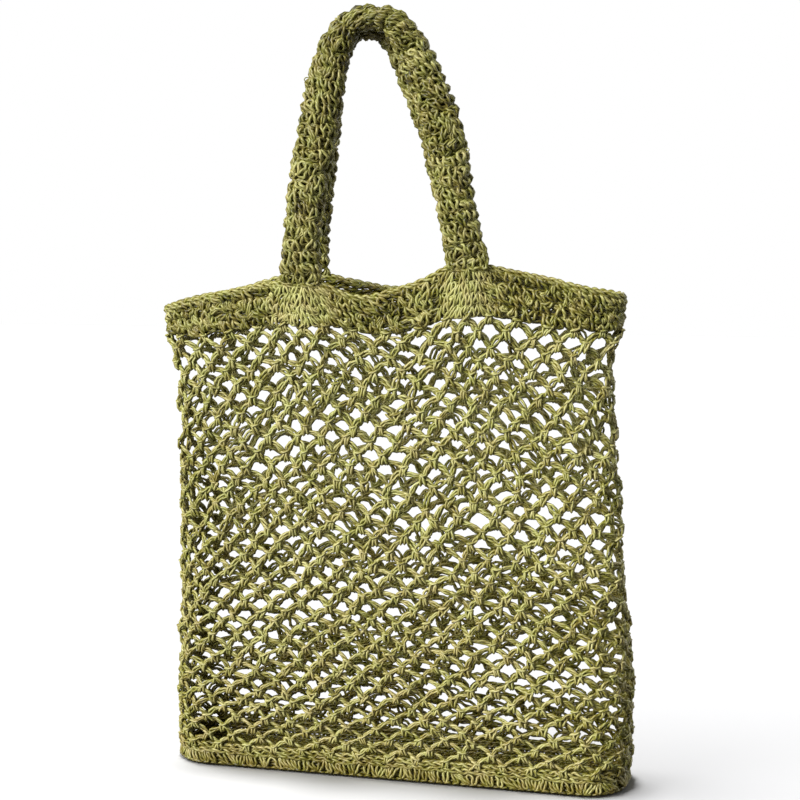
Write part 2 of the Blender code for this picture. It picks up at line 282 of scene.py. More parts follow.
# ---- twine laid as tubes
# A circle carried along closed paths. Its first direction is the reference with its share along
# the path taken away, its second the cross product of path and first.
# The strand's length in metres and the way round it become the UV.
def twineTubes(paths, reference, radius, sides, tone):
    count, steps = paths.shape[:2]
    ahead = unit(stepOver(paths))
    reference = np.broadcast_to(reference, paths.shape)
    first = unit(reference - np.sum(reference * ahead, -1, keepdims=True) * ahead)
    second = np.cross(ahead, first)
    turn = shares(sides)[:, None] * 2 * np.pi
    thick = np.broadcast_to(radius, (count, steps))[:, :, None, None]
    circle = np.cos(turn) * first[:, :, None] + np.sin(turn) * second[:, :, None]
    points = paths[:, :, None] + thick * circle
    number = np.arange(count * steps * sides).reshape(count, steps, sides)
    beside = np.roll(number, -1, 2)
    quads = np.stack([number, beside, np.roll(beside, -1, 1), np.roll(number, -1, 1)], axis=-1)
    length = np.linalg.norm(np.roll(paths, -1, 1) - paths, axis=-1)
    side = np.arange(sides) + 0 * number
    end = np.cumsum(length, axis=1)[:, :, None] + 0 * side
    begin = end - length[:, :, None]
    corners = ((begin, side), (begin, side + 1), (end, side + 1), (end, side))
    uv = np.stack([np.stack([reach, at / sides], -1) for reach, at in corners], axis=3)
    tones = np.broadcast_to(tone, (count, steps))[:, :, None] + 0 * side
    return points.reshape(-1, 3), quads.reshape(-1, 4), uv.reshape(-1, 2), tones.reshape(-1)


pieces = bpy.data.collections.new("crochetPieces")
scene.collection.children.link(pieces)


def makePiece(name, bundles, finish, node):
    starts = np.cumsum([0] + [len(bundle[0]) for bundle in bundles])
    quads = np.concatenate([bundle[1] + start for bundle, start in zip(bundles, starts)])
    points, uv, tones = (np.concatenate([bundle[at] for bundle in bundles]) for at in (0, 2, 3))
    mesh = bpy.data.meshes.new(name)
    mesh.vertices.add(len(points))
    mesh.vertices.foreach_set("co", points.astype(np.float32).ravel())
    mesh.loops.add(quads.size)
    mesh.loops.foreach_set("vertex_index", quads.astype(np.int32).ravel())
    mesh.polygons.add(len(quads))
    mesh.polygons.foreach_set("loop_start", np.arange(0, quads.size, 4, dtype=np.int32))
    mesh.polygons.foreach_set("use_smooth", np.ones(len(quads), dtype=bool))
    mesh.update(calc_edges=True)
    mesh.uv_layers.new(name="strand").data.foreach_set("uv", uv.astype(np.float32).ravel())
    mesh.attributes.new("tone", "FLOAT", "POINT").data.foreach_set("value", tones.astype(np.float32))
    mesh.materials.append(finish)
    piece = bpy.data.objects.new(name, mesh)
    pieces.objects.link(piece)
    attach(piece, "root")
    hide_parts(node)
    print(name, "has", 2 * len(quads), "triangles")


# Random values with a normal spread of this amount
def scatter(shape, amount):
    return dice.normal(0, amount, size=shape)


waves = {"count": 6, "climb": 6.0, "scale": 1.6}


# Slow waves over a closed round: a few cosines with random phases, about 1 at most
def slowWaves(around, up, rounds):
    total = 0.0
    for _ in range(waves["count"]):
        turns = dice.integers(2, rounds)
        rise = dice.uniform(-waves["climb"], waves["climb"])
        total = total + np.cos(2 * np.pi * (turns * around + rise * up + dice.uniform()))
    return total / waves["count"] * waves["scale"]


# ---- finishes
def linearColour(hexText):
    srgb = np.array([int(hexText[at:at + 2], 16) / 255 for at in (1, 3, 5)])
    linear = np.where(srgb <= 0.04045, srgb / 12.92, ((srgb + 0.055) / 1.055) ** 2.4)
    return (*linear, 1.0)


# One node of a kind, its socket values, and its links as socket: (node, output)
def addNode(tree, kind, sockets=None, links=None, **settings):
    node = tree.nodes.new("ShaderNode" + kind)
    for key, value in settings.items():
        setattr(node, key, value)
    for key, value in (sockets or {}).items():
        node.inputs[key].default_value = value
    for key, (source, output) in (links or {}).items():
        tree.links.new(source.outputs[output], node.inputs[key])
    return node


# A new material with values set on its shader's own sockets
def newMaterial(name, values):
    material = bpy.data.materials.new(name)
    material.use_nodes = True
    shader = material.node_tree.nodes["Principled BSDF"]
    for key, value in values.items():
        shader.inputs[key].default_value = value
    return material, shader


twine = {
    "lay": 6.5 * mm,          # one full turn of the two plies
    "fibre": 1.4 * mm,
    "patch": 55 * mm,         # slow change of dye over the bag
    "tint": 11 * mm,          # strands that took the dye greener or browner
    "hues": (0.489, 0.520),   # a little browner, greener
    "tintSpan": (0.32, 0.68),   # the part of the noise that they fill
    "browner": (0.32, -0.0089),   # metres up where the hue starts to turn, its turn at the floor
    "shares": (0.55, 0.35, 0.40, 0.25),   # of the strand's tone, the patches, the crowns, the fibres
    "tones": (0.28, 1.24),    # the sum of those at the two ends of the colours
    "middle": 0.30,           # where the middle colour stands
    "fibreRelief": 0.3,       # height of the fibres, as a share of the plies'
    "bump": {"Strength": 0.55, "Distance": 0.5 * mm},
    "shine": {"Roughness": 0.48, "IOR": 1.45, "Specular IOR Level": 0.5},
    "net": ("#3D3600", "#6A640E", "#B9B37A"),
    "dense": ("#322D00", "#5F5804", "#AFA96C"),
    "handle": ("#2B2700", "#575104", "#A49E61"),
}


# Twisted paper straw twine: a matt, dry strand, with painted shade in the groove between plies and its
# crowns lighter, its dye a little uneven from strand to strand and over the bag, here greener and there
# browner, and its hue turning browner towards the floor
def strawTwine(name, colours):
    material, shader = newMaterial(name, twine["shine"])
    tree = material.node_tree
    strand = addNode(tree, "UVMap", uv_map="strand")
    place = addNode(tree, "TexCoord")
    tone = addNode(tree, "Attribute", attribute_name="tone")

    def mathNode(operation, sockets, links):
        return addNode(tree, "Math", sockets, links, operation=operation)

    def noise(size, detail):
        return addNode(tree, "TexNoise", {"Scale": 1 / size, "Detail": detail},
                       {"Vector": (place, "Object")})

    def spread(source, low, high, least=0.0, most=1.0):
        return addNode(tree, "MapRange",
                       {"From Min": low, "From Max": high, "To Min": least, "To Max": most},
                       {"Value": source})

    # two plies: the stripes run twice round the strand and once along each lay
    plies = addNode(tree, "Mapping", {"Scale": (1 / twine["lay"], 2.0, 1.0)},
                    {"Vector": (strand, "UV")})
    split = addNode(tree, "SeparateXYZ", None, {"Vector": (plies, "Vector")})
    phase = mathNode("ADD", None, {0: (split, "X"), 1: (split, "Y")})
    angle = mathNode("MULTIPLY", {1: 2 * np.pi}, {0: (phase, 0)})
    wave = mathNode("COSINE", None, {0: (angle, 0)})
    # crown of each ply: painted shade in the groove and lighter crowns in the colour, and also the
    # bump's height
    crown = spread((wave, 0), -1.0, 1.0)
    fibre = noise(twine["fibre"], 2.0)
    patch = noise(twine["patch"], 3.0)
    # tone of the strand, plus dye patches, plus the crown of a ply, painted lighter than its shaded
    # groove, plus fibres
    total = mathNode("MULTIPLY", {1: twine["shares"][0]}, {0: (tone, "Fac")})
    sources = ((patch, "Fac"), (crown, "Result"), (fibre, "Fac"))
    for source, share in zip(sources, twine["shares"][1:]):
        total = mathNode("MULTIPLY_ADD", {1: share}, {0: source, 2: (total, 0)})
    along = spread((total, 0), *twine["tones"])
    ramp = addNode(tree, "ValToRGB", None, {"Fac": (along, "Result")})
    ramp.color_ramp.elements[0].color = linearColour(colours[0])
    ramp.color_ramp.elements[1].color = linearColour(colours[2])
    ramp.color_ramp.elements.new(twine["middle"]).color = linearColour(colours[1])
    # the hue: random from strand to strand, plus a turn that grows towards the floor
    tint = spread((noise(twine["tint"], 1.0), "Fac"), *twine["tintSpan"], *twine["hues"])
    height = addNode(tree, "SeparateXYZ", None, {"Vector": (place, "Object")})
    low = spread((height, "Z"), 0.0, twine["browner"][0], twine["browner"][1], 0.0)
    hue = mathNode("ADD", None, {0: (tint, "Result"), 1: (low, "Result")})
    dyed = addNode(tree, "HueSaturation", None, {"Hue": (hue, 0), "Color": (ramp, "Color")})
    tree.links.new(dyed.outputs["Color"], shader.inputs["Base Color"])
    relief = mathNode("MULTIPLY_ADD", {1: twine["fibreRelief"]},
                      {0: (fibre, "Fac"), 2: (crown, "Result")})
    bump = addNode(tree, "Bump", twine["bump"], {"Height": (relief, 0)})
    tree.links.new(bump.outputs["Normal"], shader.inputs["Normal"])
    return material


netTwine = strawTwine("netStrawTwine", twine["net"])
denseTwine = strawTwine("denseStrawTwine", twine["dense"])
handleTwine = strawTwine("handleStrawTwine", twine["handle"])


# ---- net
net = {
    "columns": 36,
    "meshWide": 23.5 * mm,    # about one column
    "pitches": [(0, 8.8), (30, 9.3), (60, 10.3), (165, 10.8), (200, 12.2), (390, 12.9)],  # mm up, mm
    "lean": [(0, 0.0), (7, 0.35), (36, -1.55)],       # row, columns moved round by then
    "radius": 1.32 * mm, "sides": 4,
    "samples": 5,             # points from a knot to the next arch
    "apart": 1.55 * mm,       # half the distance between the two front strands of an arch
    "capApart": 0.95 * mm, "depth": -2.0 * mm,
    "swing": 1.4 * mm,        # arches come forward between knots and pass behind the legs
    "behind": (-2.5 * mm, -1.5 * mm),   # the third strand, below the two and deeper
    "turnOver": 0.45 * mm,    # the two strands turn about each other by this
    "slack": 1.15 * mm,
    "topReached": 0.92,       # share of the way to the top at which an arch has climbed
    "climb": 2.5,
    "capUp": 0.23,            # cap and arch top over and under a knot's middle, shares of a row
    "armUp": 0.02,            # where the arches leave a knot
    "archDown": 0.32,
    "tight": 0.50,            # how close the strands lie in the lowest rows of the front
    "legs": (-2.15 * mm, 0.05 * mm, 2.1 * mm), "legSamples": 7,
    "legRadius": 1.2 * mm, "legDepth": 2.0 * mm,
    "legBelow": 2.6 * mm,     # foot of a leg, below the arch that it holds
    "legShift": 0.60 * mm,    # random in a leg: place, lean, height, depth
    "legLean": 1.5 * mm, "legStretch": 0.09, "legDeep": 0.3 * mm,
    "capSize": (3.5 * mm, 0.35 * mm),   # and how random it is
    "capTilt": 0.38, "capDepth": 0.9 * mm, "capRound": 1.7 * mm,
    "legFan": 0.18,           # share by which the legs spread towards the foot
    "archTone": 0.30, "legTone": 0.62, "capTone": 0.66, "knotTone": 0.13,
    "lastRow": (1.5 * mm, 0.9 * mm),    # its knots end lower and deeper, in the band's foot
    "slowAcross": 0.13,       # knots off their place: slow waves, then at random
    "slowUp": 0.16, "jitterAcross": 0.075, "jitterUp": 0.12,
    "lowBackPaintedShade": 0.75,      # painted shade: the low rows at the back are darkened, as the inside of the bag lies in shade there
    # station, height, spread up, push: the ends of the bag stand out further than the CAD's
    "swells": [(12, 0.165, 0.13, 7.0 * mm), (36, 0.33, 0.10, 3.0 * mm), (36, 0.10, 0.10, 1.0 * mm)],
    "ripple": 0.80 * mm,      # height of one of the ripples, and how many there are
    "ripples": 7,
    "rippleFade": (0.04, 0.42, 0.03),   # metres over the base, their upper end, metres under that
    "swellReach": 3.5,        # stations
    "shortRow": (8.6, 3.6),   # mm of pitch in the rows by the floor, mm more in the tall ones
    # below the handle ends columns draw together: from this height, over this, this share, stations
    "gather": (0.29, 0.13, 0.30, 2.6),
}
stationsPerColumn = stationCount / net["columns"]


# Knot rows: the pitches in the table are walked upwards, and the walk is cut in whole rows
def netRows():
    tall, pitch = np.array(net["pitches"], dtype=float).T
    step = np.linspace(0, tall[-1], 781)
    pitch = np.interp(step, tall, pitch)
    walk = running(0.5 * (1 / pitch[1:] + 1 / pitch[:-1]) * np.diff(step))
    rows = int(round(walk[-1]))
    return np.interp(np.arange(rows + 1) / rows * walk[-1], walk, step) / tall[-1]


# Draws the columns together below the handle ends, more the higher they are
def drawnToSeats(station, height):
    start, over, most, wide = net["gather"]
    share = np.clip((height - start) / over, 0, 1) ** 1.5
    moved = station
    for seat in seatMiddles:
        off = stationsFrom(station, seat)
        moved = moved - most * share * off * np.exp(-(off / wide) ** 2)
    return moved


# Knots of the lattice: each row is moved half a column from the one below, leans a little,
# and every knot is off its place by slow waves and a small random step
def netKnots():
    level = netRows()
    rows = len(level)
    row = np.arange(rows)[:, None]
    column = np.arange(net["columns"])[None, :]
    lean = np.interp(row, *np.array(net["lean"]).T)
    across = column + 0.5 * (row % 2) + lean
    slow = slowWaves(across / net["columns"], row / rows, 9)
    slowUp = slowWaves(across / net["columns"], row / rows, 9)
    free = np.clip(np.minimum(row, rows - 1 - row) / 2, 0, 1)
    across = across + net["slowAcross"] * slow * free
    jitter = np.clip(scatter(across.shape, 1.0), -2, 2)
    across = across + net["jitterAcross"] * jitter * (0.4 + 0.6 * free)
    low = bagForm["baseRim"]
    tall = bandAt(across * stationsPerColumn, 0) - low
    pitch = np.diff(level, prepend=2 * level[0] - level[1])[:, None] * tall
    jitter = np.clip(scatter(across.shape, 1.0), -2, 2)
    step = net["slowUp"] * slowUp + net["jitterUp"] * jitter
    return across, low + tall * level[:, None] + pitch * free * step, pitch


# Push outwards at a place on the net: bells at the two ends, and ripples, which are cosines with
# random phases that fade towards the base and the band. The ripples have dice of their own.
rippleDice = np.random.default_rng(8)
rippleWaves = np.column_stack([rippleDice.integers(9, 36, net["ripples"]),
                               rippleDice.uniform(-24, 24, net["ripples"]),
                               rippleDice.uniform(0, 1, net["ripples"])])


def netSwell(u, z):
    total = 0.0
    for turns, rise, phase in rippleWaves:
        turn = 2 * np.pi * (turns * u / net["columns"] + rise * z + phase)
        total = total + net["ripple"] * np.cos(turn)
    overBase, ending, under = net["rippleFade"]
    total = total * np.clip((z - bagForm["baseRim"]) / overBase, 0, 1)
    total = total * np.clip((ending - z) / under, 0, 1)
    for middle, height, spread, push in net["swells"]:
        off = stationsFrom(u * stationsPerColumn, middle)
        total = total + push * np.exp(-(off / net["swellReach"]) ** 2 - ((z - height) / spread) ** 2)
    return total


# Share of the way to the back, and share of the way from the short rows near the floor to the tall
# ones high up
def backAndTall(u, pitch):
    onBack = np.clip(0.5 - 0.8 * np.cos(2 * np.pi * u / net["columns"]), 0, 1)
    short, more = net["shortRow"]
    return onBack, np.clip((pitch / mm - short) / more, 0, 1)


# Arches of one round: from the middle of a knot to the top of the arch under the next row's knot and
# down again. Across runs evenly, height climbs steeply off the knot and rounds off at the top (one
# minus a power), depth is a sine of the same share. Three strands lie side by side, at right angles
# to the arch, the third lower and behind, and turn about each other a little.
def netArches(across, height, pitch):
    rows = across.shape[0] - 1
    row = np.arange(rows)[:, None]
    columns = net["columns"]
    topU = across[1:].copy()
    topZ = height[1:] - net["archDown"] * pitch[1:]
    topU[1::2] = np.roll(topU[1::2], -1, axis=1)
    topU[1::2, -1] += columns
    topZ[1::2] = np.roll(topZ[1::2], -1, axis=1)
    footZ = height[:-1] + net["armUp"] * pitch[:-1]
    anchorU = np.stack([across[:-1], topU], axis=2).reshape(rows, -1, 1)
    anchorZ = np.stack([footZ, topZ], axis=2).reshape(rows, -1, 1)
    nextU = np.roll(anchorU, -1, axis=1)
    nextU[:, -1] += columns
    s = shares(net["samples"])
    toTop = 1 - (1 - np.clip(np.stack([s, 1 - s]) / net["topReached"], 0, 1)) ** net["climb"]
    share = np.tile(np.stack([toTop[0], 1 - toTop[1]]), (columns, 1))
    toTop = np.tile(toTop, (columns, 1)).reshape(1, -1)
    u = anchorU + (nextU - anchorU) * s
    z = anchorZ + (np.roll(anchorZ, -1, axis=1) - anchorZ) * share
    u = u.reshape(rows, -1)
    z = z.reshape(rows, -1)
    stepU = stepOver(u)
    stepU[:, [0, -1]] += columns
    stepU = stepU * net["meshWide"]
    stepZ = stepOver(z)
    size = np.hypot(stepU, stepZ)
    swell = slowWaves(u / columns, row / rows, 60)
    twist = 2 * np.pi * (u + dice.uniform(size=(rows, 1)))
    arch = np.sin(np.pi * toTop)
    apart = net["capApart"] + (net["apart"] - net["capApart"]) * arch ** 0.7
    # strands lie closer in the short rows near the floor, and stay loose there at the back
    onBack, tall = backAndTall(u, pitch[:-1].mean(axis=1, keepdims=True))
    loose = (net["tight"] + (1 - net["tight"]) * tall) * (1 - onBack) + (1.6 - 0.6 * tall) * onBack
    strands = []
    for sign in (-1, 1, 0):
        slack = net["slack"] * slowWaves(u / columns, row * 0.37, 90)
        off = (sign * apart * (0.85 + 0.15 * np.cos(twist)) + slack) * loose
        out = net["depth"] + net["swing"] * (arch - 0.6) + sign * net["turnOver"] * np.sin(twist)
        if sign == 0:
            off = off + net["behind"][0] * arch * loose
            out = out + net["behind"][1]
        out = out + netSwell(u, z)
        aside = u - off * stepZ / size / net["meshWide"]
        station = drawnToSeats(aside * stationsPerColumn, z)
        paths, outward = onBag(station, z + off * stepU / size, out)
        tone = 0.5 + net["archTone"] * slowWaves(u / columns, row, 40) + 0.12 * sign
        # painted shade: low rows at the back are darkened, the inside of the bag being in shade there
        tone = tone - net["lowBackPaintedShade"] * onBack * (1 - tall)
        radius = net["radius"] * (1 + 0.15 * swell) * (0.8 + 0.2 * loose)
        strands.append((paths, outward, radius, tone))
    return strands


# A ring of the net from columns, heights and distances out. Its axis is the mean step to the same
# ring a little further round or up.
def netRing(u, z, out, further, higher, tone):
    out = out + netSwell(u, z)
    station = drawnToSeats(u * stationsPerColumn, z)
    paths = onBag(station, z, out)[0]
    beside = onBag(station + further, z + higher, out)[0]
    radius = np.full((*tone.shape, 1), net["legRadius"])
    return paths, unit(beside - paths).mean(axis=2, keepdims=True), radius, tone[..., None]


# Legs of a knot: an upright oval ring round the arch below and up to the cap.
# Height follows the sine, depth the cosine, and the rings fan out towards the foot.
def netLegs(across, height, pitch):
    foot = height - net["archDown"] * pitch - net["legBelow"]
    top = height + net["capUp"] * pitch - 0.2 * mm
    turn = (np.arange(net["legSamples"]) + 0.5) / net["legSamples"] * 2 * np.pi
    rise = np.sign(np.sin(turn)) * np.abs(np.sin(turn)) ** 0.75
    fan = 1 - net["legFan"] * rise
    top[-1] -= net["lastRow"][0]
    middle = ((foot + top) / 2)[..., None]
    half = ((top - foot) / 2)[..., None]
    onBack, tall = backAndTall(across, pitch)
    # painted shade on the low back rows, as in the arches
    paintedShade = net["lowBackPaintedShade"] * onBack * (1 - tall)
    rings = []
    for leg in net["legs"]:
        shift = leg + scatter(across.shape, net["legShift"])
        lean = scatter(across.shape, net["legLean"])
        aside = shift[..., None] * fan + lean[..., None] * rise
        z = middle + half * (1 + scatter(across.shape, net["legStretch"])[..., None]) * rise
        depth = net["depth"] + scatter(across.shape, net["legDeep"])
        depth[-1] -= net["lastRow"][1]
        out = depth[..., None] + net["legDepth"] * np.cos(turn)
        u = across[..., None] + aside / net["meshWide"]
        tone = net["legTone"] + scatter(across.shape, net["knotTone"]) - paintedShade
        rings.append(netRing(u, z, out, 0.05, 0.0, tone))
    rings.append(netCaps(across, top))
    return rings


# Cap of a knot: a lying oval ring across the tops of the legs, its ends a little lower or higher
def netCaps(across, top):
    turn = shares(net["legSamples"]) * 2 * np.pi
    size = (net["capSize"][0] + scatter(across.shape, net["capSize"][1]))[..., None] * np.cos(turn)
    tilt = scatter(across.shape, net["capTilt"])[..., None]
    out = net["depth"] + net["capDepth"] + net["capRound"] * np.sin(turn)
    z = top[..., None] - 0.6 * mm + tilt * size
    tone = net["capTone"] + scatter(across.shape, net["knotTone"])
    return netRing(across[..., None] + size / net["meshWide"], z, out, 0.0, 0.5 * mm, tone)


def buildNet():
    across, height, pitch = netKnots()
    middle = across.shape[0] // 2
    kinds = {"netArches": netArches(across, height, pitch), "netKnots": netLegs(across, height, pitch)}
    for kind, strands in kinds.items():
        for end, part in (("Low", slice(0, middle)), ("High", slice(middle, None))):
            bundles = []
            for strand in strands:
                # paths and directions keep their steps and xyz, radii and tones their steps
                paths, towards, radius, tone = (values[part].reshape(-1, *values.shape[-kept:])
                                                for values, kept in zip(strand, (2, 2, 1, 1)))
                bundles.append(twineTubes(paths, towards, radius, net["sides"], tone))
            makePiece(kind + end, bundles, netTwine, "net_body")


buildNet()


# ---- dense crochet
# One round of interlocked loops, in stitches: across runs once per stitch and swings twice as fast,
# height swings once per stitch, depth twice; the whole stitch leans with its height
def loopRound(stitches, samples, swing, reach, lean):
    t = shares(samples) * 2 * np.pi
    up = -reach * np.cos(t)
    across = np.arange(stitches)[:, None] + (t / (2 * np.pi) + swing * np.sin(2 * t) + lean * up)
    return across.reshape(-1), np.tile(up, stitches), np.tile(-np.cos(2 * t), stitches)


# Random value per stitch, run smoothly into the next one
def perStitch(rounds, stitches, samples, amount):
    value = scatter((rounds, stitches), amount)
    share = shares(samples)
    ease = share * share * (3 - 2 * share)
    mixed = value[:, :, None] * (1 - ease) + np.roll(value, -1, 1)[:, :, None] * ease
    return mixed.reshape(rounds, -1)


# Loop rounds in a stack, each turned part of a stitch on from the last, with every stitch off its
# place, its lean and its size: across and up in stitches, the relief, and the random values' maker
def stackedRounds(form):
    across, up, relief = loopRound(form["stitches"], form["samples"], form["swing"], form["reach"],
                                   form["slant"])
    row = np.arange(form["rows"])[:, None]

    def loose(amount):
        return perStitch(form["rows"], form["stitches"], form["samples"], amount)

    u = across + form["turned"] * row + loose(0.20) + loose(form["fan"]) * up
    v = up * (1 + loose(0.22)) + loose(0.20)
    return row, u, v, relief, loose


# Long narrow closed loops at random: a flat oval turned by a random angle. Gives the steps up and
# aside, and the dip of the two ends, a fourth power of the cosine.
def skewLoops(count, length):
    turn = shares(8) * 2 * np.pi
    tilt = scatter((count, 1), 0.8)
    long = length * (1 + scatter((count, 1), 0.25)) * np.cos(turn)
    wide = 1.1 * mm * np.sin(turn)
    up = long * np.cos(tilt) - wide * np.sin(tilt)
    return up, long * np.sin(tilt) + wide * np.cos(tilt), 1.2 * mm * np.cos(turn) ** 4


band = {
    "rows": 4, "stitches": 112, "samples": 12, "sides": 5, "radius": 1.52 * mm,
    "swing": 0.26, "reach": 0.58, "slant": 0.0, "turned": 0.37, "fan": 0.50,
    "lean": -0.45, "relief": 2.0 * mm, "loose": 0.55 * mm, "depth": -2.3 * mm,
    "tone": 0.42, "toneLoose": 0.28,
    "rowWide": 0.52,          # a row's height in stations
    "bellReach": 1.5,         # stations to each side of a handle end where stitches crowd and fan,
    "crowd": 0.9, "seatFan": 0.55,      # and are flatter, further out and thinner
    "seatFlat": 0.55, "seatOut": 0.5 * mm, "seatThin": 0.22,
    "paintedLightAndShade": {4: 0.35, 20: 0.35, 28: 0.35, 44: 0.60, 0: -0.22},   # painted light and shade: station, how far the tone goes up; lightened at the handle ends, where the band bulges to the light, and darkened in the fold at the middle front
    "strays": 300,            # loops that lie askew over the rounds
    "strayLength": 4.2 * mm, "strayRadius": 1.4 * mm, "stationWide": 19.5 * mm,
    "liningDepth": -4.3 * mm, "liningSteps": 320, "liningRadius": 1.8 * mm,
    "rope": {"turns": 38, "samples": 14, "radius": 1.6 * mm, "up": 2.2 * mm, "deep": 1.6 * mm,
             "depth": -2.3 * mm, "uneven": 0.5, "unevenRounds": 30, "tone": 0.55, "toneLoose": 0.15},
}


# Flat-topped bell: e to the minus fourth power of the distance in stations
def bell(off):
    return np.exp(-(off / band["bellReach"]) ** 4)


# Distance in stations from the nearest handle end, 9 where there is none
def fromSeat(station):
    off = np.full(np.shape(station), 9.0)
    for seat in seatMiddles:
        here = stationsFrom(station, seat)
        off = np.where(np.abs(here) < np.abs(off), here, off)
    return off


# Stitches crowd together below the handle ends: the step round the bag is divided by a density
# that is higher there, and the walk is scaled back to one full round
def crowded(share):
    station = np.linspace(0, stationCount, 1921)
    density = 1 + band["crowd"] * bell(fromSeat(station))
    walk = running((density[1:] + density[:-1]) / 2)
    return np.interp(np.mod(share, 1.0), walk / walk[-1], station)


# Rounds of the band: loop rounds stacked between the band's foot and its rim
def buildBand():
    rows = band["rows"]
    row, u, v, relief, loose = stackedRounds(band)
    v = v + 0.12 * slowWaves(u / band["stitches"], row * 0.4, 24)
    v = np.clip(row + 0.5 + v, 0.02, rows - 0.10) - row - 0.5
    station = crowded(u / band["stitches"])
    off = fromSeat(station)
    near = bell(off)
    # the stitches fan out from a handle end and lean one way elsewhere
    slant = band["lean"] * (1 - near) - band["seatFan"] * near * np.clip(off, -1.5, 1.5)
    station = station + slant * v * band["rowWide"]
    height = bandAt(station, (row + 0.5 + v) / rows)
    out = band["depth"] + band["relief"] * relief * (1 - band["seatFlat"] * near)
    out = out + band["loose"] * loose(1.0) + band["seatOut"] * near
    paths, outward = onBag(station, height, out)
    tone = band["tone"] + loose(band["toneLoose"])
    # painted light at the handle ends and painted shade in the fold at the middle front
    for middle, paintedLightAndShade in band["paintedLightAndShade"].items():
        tone = tone + paintedLightAndShade * bell(stationsFrom(station, middle))
    radius = band["radius"] * (1 - band["seatThin"] * near) * (1 + loose(0.06))
    bundles = [twineTubes(paths, outward, radius, band["sides"], tone)]
    bundles += rimRope() + bandLining() + bandStrays()
    makePiece("bandStitches", bundles, denseTwine, "top_band")


# Loops lying askew on the band, lower near a handle end, where their tone is raised as painted light on
# the bulging band
def bandStrays():
    count = band["strays"]
    up, aside, dip = skewLoops(count, band["strayLength"])
    station = dice.uniform(0, stationCount, size=(count, 1))
    near = bell(fromSeat(station))
    height = bandAt(station, dice.uniform(0.10, 0.88, size=(count, 1)))
    out = band["depth"] + (1.2 + scatter((count, 1), 0.4) - 0.8 * near) * mm - dip
    paths, outward = onBag(station + aside / band["stationWide"], height + up * (1 - 0.4 * near), out)
    # painted light: strays near a handle end are lightened, as the band there faces the light
    tone = 0.50 + scatter((count, 1), 0.2) + 0.3 * near
    return [twineTubes(paths, outward, band["strayRadius"], 4, tone)]


# Back loops of the band: slack strands round the inside, two to a row, height a slow wave, their tone
# set low as painted shade inside the mouth
def bandLining():
    walk = shares(band["liningSteps"])
    line = (np.arange(2 * band["rows"])[:, None] + 0.5) / (2 * band["rows"])
    station = walk * stationCount + 0 * line
    line = line + 0.05 * slowWaves(walk, line * 3, 120)
    out = band["liningDepth"] + 0.6 * mm * slowWaves(walk, line * 5, 120)
    paths, outward = onBag(station, bandAt(station, line), out)
    # painted shade: the inside of the mouth is in shade, so the lining's tone is set low
    tone = -0.20 + 0.1 * slowWaves(walk, line, 60)
    return [twineTubes(paths, outward, band["liningRadius"], 4, tone)]


# One strand of a coarse chain right round the bag: height follows the cosine of the turn and depth
# its sine, and the turn is a little uneven
def chainStrand(chain, shift, level):
    walk = shares(chain["turns"] * chain["samples"])
    turn = 2 * np.pi * (walk * chain["turns"] + shift)
    turn = turn + chain["uneven"] * slowWaves(walk, 0.0, chain["unevenRounds"])
    height = level(walk) + chain["up"] * np.cos(turn)
    out = chain["depth"] + chain["deep"] * np.sin(turn)
    tone = chain["tone"] + perStitch(1, chain["turns"], chain["samples"], chain["toneLoose"])
    paths, outward = onBag((walk * stationCount)[None], height[None], out[None])
    return twineTubes(paths, outward, chain["radius"], 5, tone)


# Chain along the rim, seen as a coarse rope: three strands a third of a turn apart
def rimRope():
    return [chainStrand(band["rope"], third / 3, lambda walk: bandAt(walk * stationCount, 1) - 0.4 * mm)
            for third in range(3)]


buildBand()


# ---- base
base = {
    "ribStitches": 140, "ribMiddle": 7.6 * mm, "ribReach": 4.7 * mm,
    "ribSwing": 0.10, "ribLean": -0.14, "ribRelief": 1.3 * mm,
    "ribDepth": -1.9 * mm, "radius": 1.35 * mm, "samples": 12,
    "cord": {"turns": 46, "samples": 14, "radius": 1.35 * mm, "up": 1.9 * mm, "deep": 1.3 * mm,
             "depth": -2.0 * mm, "uneven": 0.9, "unevenRounds": 50, "tone": 0.46, "toneLoose": 0.18},
    "cordHeights": (14.0, 18.4),      # mm
    "liningHeights": (4.5, 8.0, 12.0, 16.0, 20.0), "liningSteps": 240,
    "liningDepth": -4.4 * mm, "liningRadius": 1.7 * mm, "floorRounds": 7,
    "floorSamples": 8, "floorRow": 6.3 * mm, "floorPitch": 7.6 * mm,
    "floorHeight": 2.4 * mm, "floorRelief": 0.8 * mm, "floorRadius": 1.25 * mm,
}


# Distance in from the CAD's face where the base rolls under: a square law below the roll's height
def rollIn(height):
    return bagForm["baseRoll"] * np.clip(1 - height / bagForm["baseRoll"], 0, 1) ** 2


# Upright ribs along the bottom edge, a loop round whose feet hook outwards: depth falls with height
def baseRibs():
    across, up, relief = loopRound(base["ribStitches"], base["samples"], base["ribSwing"], 1.0,
                                   base["ribLean"])

    def loose(amount):
        return perStitch(1, base["ribStitches"], base["samples"], amount)

    u = across + loose(0.28) + loose(0.42) * up
    height = base["ribMiddle"] + base["ribReach"] * up * (1 + loose(0.08))
    height = height + 0.7 * mm * loose(1.0) * (1 + up)
    hook = 0.75 * (0.3 - up) + 0.35 * relief + loose(0.35)
    out = base["ribDepth"] + base["ribRelief"] * hook - 0.5 * rollIn(height)
    paths, outward = onBag(u / base["ribStitches"] * stationCount, height, out)
    return [twineTubes(paths, outward, base["radius"], 5, 0.44 + loose(0.18))]


# Lying chain over the ribs: two cords, each of two strands half a turn apart
def baseCords():
    return [chainStrand(base["cord"], half / 2 + 0.3 * number,
                        lambda walk: middle * mm + 0.8 * mm * slowWaves(walk, 0.0, 60))
            for number, middle in enumerate(base["cordHeights"]) for half in range(2)]


